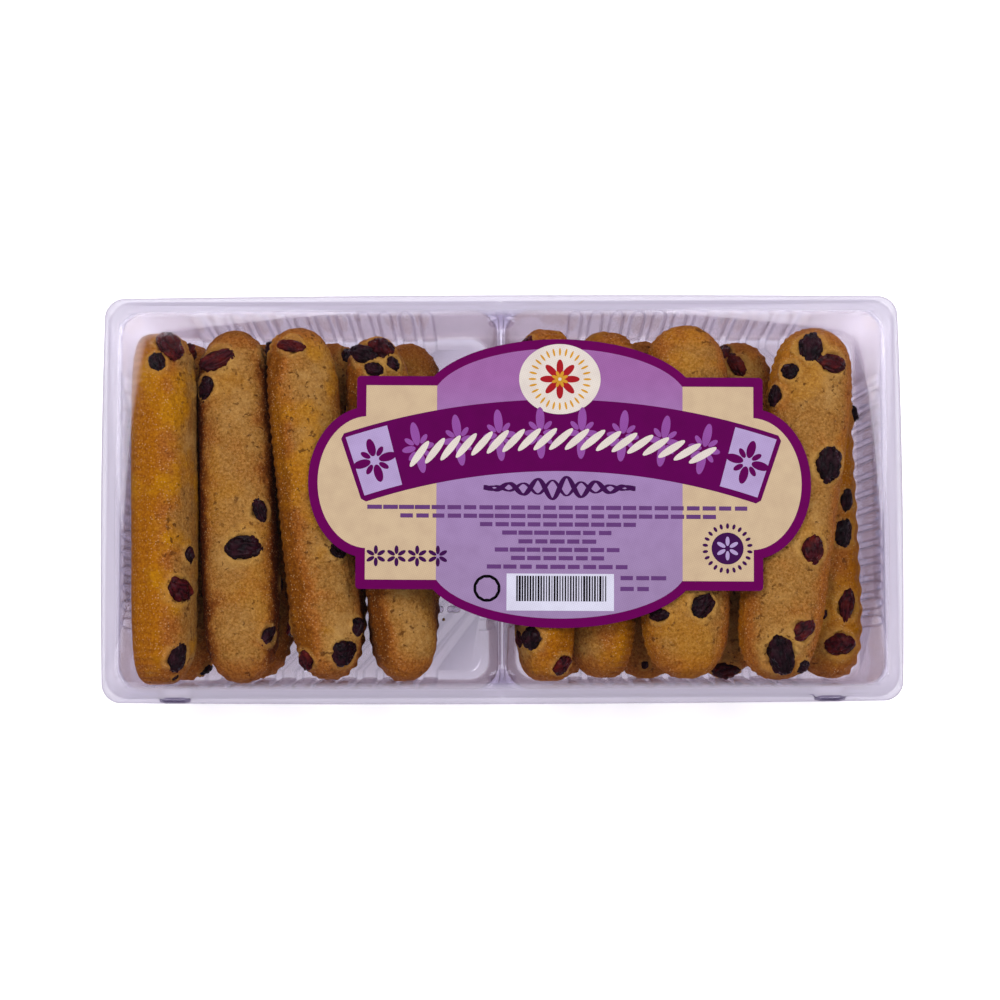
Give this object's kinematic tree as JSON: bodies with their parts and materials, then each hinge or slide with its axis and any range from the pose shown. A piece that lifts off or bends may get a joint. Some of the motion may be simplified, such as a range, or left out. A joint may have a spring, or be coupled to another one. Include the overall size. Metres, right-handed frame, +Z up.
{
  "type": "sealed pack of finger madeleines",
  "caption": "Sealed retail pack of finger madeleines with raisins: clear two-compartment tray, cakes two deep, clear film wrap and die-cut paper label",
  "frame": {"origin": "middle of the pack's underside", "axes": "+X along the pack's length, +Y across it towards the far edge of the label, +Z up"},
  "size_m": [0.222, 0.1136, 0.0432],
  "materials": {
    "clear_tray": "clear thermoformed sheet",
    "clear_film": "clear glossy film",
    "label_paper": "semi-gloss print",
    "sponge": "baked sponge crumb and crust",
    "raisin": "wrinkled dried fruit skin"
  },
  "bodies": {
    "root": {"tray": "clear_tray", "film": "clear_film", "label": "label_paper", "cake_left_top_1": "sponge", "cake_left_top_2": "sponge", "cake_left_top_3": "sponge", "cake_left_top_4": "sponge", "cake_left_low_1": "sponge", "cake_left_low_2": "sponge", "cake_left_low_3": "sponge", "cake_left_low_4": "sponge", "cake_right_top_1": "sponge", "cake_right_top_2": "sponge", "cake_right_top_3": "sponge", "cake_right_top_4": "sponge", "cake_right_low_1": "sponge", "cake_right_low_2": "sponge", "cake_right_low_3": "sponge", "cake_right_low_4": "sponge"}
  },
  "joints": []
}
